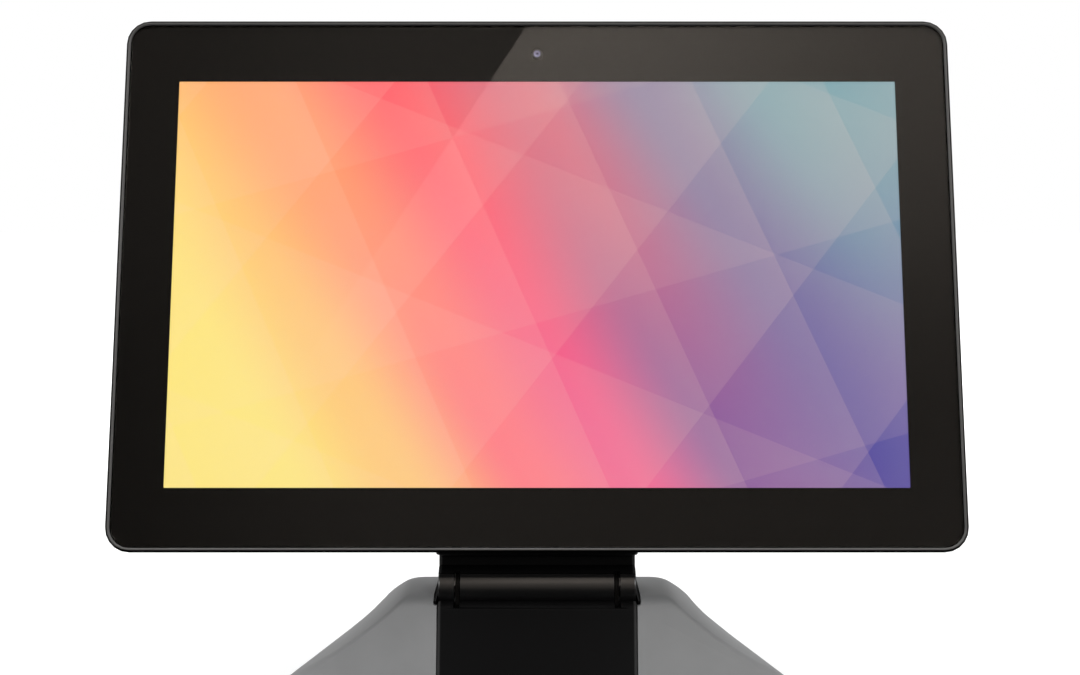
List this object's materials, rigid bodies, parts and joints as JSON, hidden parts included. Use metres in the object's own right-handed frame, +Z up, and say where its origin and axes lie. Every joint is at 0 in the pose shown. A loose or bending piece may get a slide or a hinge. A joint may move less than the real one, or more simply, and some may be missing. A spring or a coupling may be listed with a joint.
{
  "type": "pos terminal",
  "caption": "Shop counter terminal: a wide touch display with a black glass border, held by a tilting barrel hinge on a flared grey stand.",
  "frame": {"origin": "on the counter, under the middle of the object's bounding box", "axes": "+X to the right for someone facing the screen, -Y the side the screen faces, +Z up"},
  "size_m": [0.3954, 0.1802, 0.3372],
  "materials": {
    "grey_plastic": "fine satin texture",
    "black_plastic": "satin",
    "black_metal": "black anodised, satin",
    "steel": "plain",
    "sheet_steel": "zinc plated",
    "black_steel": "black paint, satin",
    "light_alloy": "plain",
    "rubber": "matte",
    "clear_glass": "polished",
    "border_ink": "printed",
    "screen": "lit picture",
    "backlight": "light guide in a thin tray",
    "board": "lacquered"
  },
  "bodies": {
    "stand": {"stand_shell": "grey_plastic", "front_panel": "black_plastic", "hinge_well": "black_plastic", "base_plate": "sheet_steel", "foot_front_left": "rubber", "foot_front_right": "rubber", "foot_rear_left": "rubber", "foot_rear_right": "rubber", "base_screw_1": "steel", "base_screw_2": "steel", "base_screw_3": "steel", "base_screw_4": "steel", "stand_bracket": "black_steel", "bracket_bolt_1": "steel", "bracket_bolt_2": "steel", "bracket_bolt_3": "steel", "bracket_bolt_4": "steel"},
    "display_head": {"front_frame": "black_metal", "cover_glass": "clear_glass", "glass_border": "border_ink", "lcd_cell": "screen", "backlight_unit": "backlight", "camera_module": "black_plastic", "chassis_plate": "sheet_steel", "main_board": "board", "heat_sink": "light_alloy", "storage_drive": "light_alloy", "speaker_left": "black_plastic", "speaker_right": "black_plastic", "usb_port_a": "steel", "usb_port_b": "steel", "lan_port": "black_plastic", "dc_jack": "black_plastic", "button_switch": "black_plastic", "rear_cover": "black_plastic", "cover_screw_1": "steel", "cover_screw_2": "steel", "cover_screw_3": "steel", "cover_screw_4": "steel", "hinge_arm": "sheet_steel", "arm_screw_1": "steel", "arm_screw_2": "steel", "arm_screw_3": "steel", "arm_screw_4": "steel", "hinge_shaft_left": "steel", "hinge_shaft_right": "steel", "friction_washer_left": "black_plastic", "friction_washer_right": "black_plastic", "spring_washer_left": "steel", "spring_washer_right": "steel", "shaft_nut_left": "steel", "shaft_nut_right": "steel", "neck_front_cover": "black_plastic", "neck_rear_cover": "black_plastic", "barrel_cover": "black_plastic"},
    "power_key": {"power_button": "black_plastic"}
  },
  "joints": [
    {"name": "tilt", "type": "hinge", "parent": "stand", "child": "display_head", "pos_m": [0, -0.028, 0.0633], "axis": [-1, 0, 0], "range_deg": [-10, 35]},
    {"name": "power_press", "type": "slide", "parent": "display_head", "child": "power_key", "axis": [0, 0.2147, 0.9767], "range_m": [0, 0.001], "stiffness_N_per_m": 1500}
  ]
}
